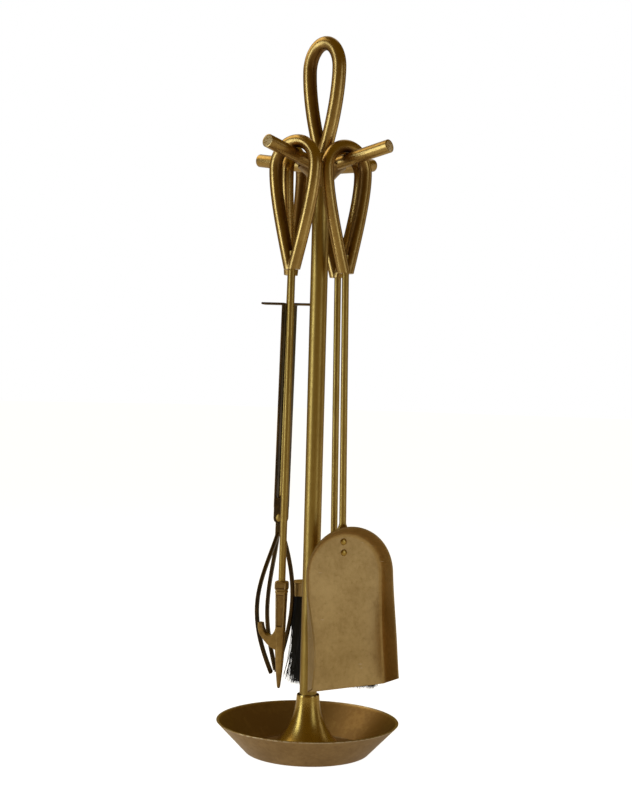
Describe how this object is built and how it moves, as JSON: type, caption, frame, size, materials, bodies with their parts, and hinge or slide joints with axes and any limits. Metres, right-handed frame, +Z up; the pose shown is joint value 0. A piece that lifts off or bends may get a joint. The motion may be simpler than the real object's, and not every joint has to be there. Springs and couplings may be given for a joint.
{
  "type": "fireplace tool set",
  "caption": "Freestanding fireplace tool set: dish base, pole with four pegs and carry loop, and a hanging poker, shovel, brush and log tongs.",
  "frame": {"origin": "centre of the base pan's underside, on the floor plane", "axes": "+Z up along the pole, +X out along the shovel's peg, -Y out along the poker's peg"},
  "size_m": [0.2, 0.2, 0.7848],
  "materials": {
    "satin_brass": "satin",
    "cast_brass": "cast, satin",
    "sheet_brass": "brushed satin",
    "dark_brass": "darkened satin",
    "zinc_steel": "zinc plated",
    "black_bristle": "matt",
    "stained_wood": "matt"
  },
  "bodies": {
    "stand": {"base_pan": "sheet_brass", "base_washer": "zinc_steel", "base_bolt": "zinc_steel", "pole_foot": "satin_brass", "pole": "satin_brass", "pole_plug": "zinc_steel", "peg_hub": "cast_brass", "peg_poker": "satin_brass", "peg_shovel": "satin_brass", "peg_tongs": "satin_brass", "peg_brush": "satin_brass", "carry_loop": "cast_brass", "carry_loop_stud": "zinc_steel"},
    "poker": {"poker_handle": "cast_brass", "poker_rod": "satin_brass", "poker_head": "cast_brass"},
    "shovel": {"shovel_handle": "cast_brass", "shovel_rod": "satin_brass", "shovel_pan": "sheet_brass", "shovel_rivet_upper": "satin_brass", "shovel_rivet_lower": "satin_brass"},
    "tongs": {"tongs_handle": "cast_brass", "tongs_rod": "satin_brass", "tongs_pivot_rivet": "satin_brass"},
    "tongs_single_jaw": {"tongs_single_arm": "dark_brass", "tongs_single_claw": "dark_brass"},
    "tongs_fork_jaw": {"tongs_fork_arm": "dark_brass", "tongs_fork_claw": "dark_brass"},
    "brush": {"brush_handle": "cast_brass", "brush_rod": "satin_brass", "brush_ferrule": "satin_brass", "brush_block": "stained_wood", "brush_bristles": "black_bristle"}
  },
  "joints": [
    {"name": "poker_lift_off", "type": "slide", "parent": "stand", "child": "poker", "axis": [0, -0.9845, 0.1754], "range_m": [0, 0.075]},
    {"name": "shovel_lift_off", "type": "slide", "parent": "stand", "child": "shovel", "axis": [0.9845, 0, 0.1754], "range_m": [0, 0.075]},
    {"name": "tongs_lift_off", "type": "slide", "parent": "stand", "child": "tongs", "axis": [-0.9845, 0, 0.1754], "range_m": [0, 0.075]},
    {"name": "brush_lift_off", "type": "slide", "parent": "stand", "child": "brush", "axis": [0, 0.9845, 0.1754], "range_m": [0, 0.075]},
    {"name": "tongs_single_jaw_open", "type": "hinge", "parent": "tongs", "child": "tongs_single_jaw", "pos_m": [-0.04587, 0, 0.25295], "axis": [0.4067, -0.9135, -0.0074], "range_deg": [0, 12]},
    {"name": "tongs_fork_jaw_open", "type": "hinge", "parent": "tongs", "child": "tongs_fork_jaw", "pos_m": [-0.04587, 0, 0.25295], "axis": [0.4067, -0.9135, -0.0074], "range_deg": [-12, 0]}
  ],
  "couplings": [
    {"joint": "tongs_fork_jaw_open", "follows": "tongs_single_jaw_open", "ratio": -1}
  ]
}
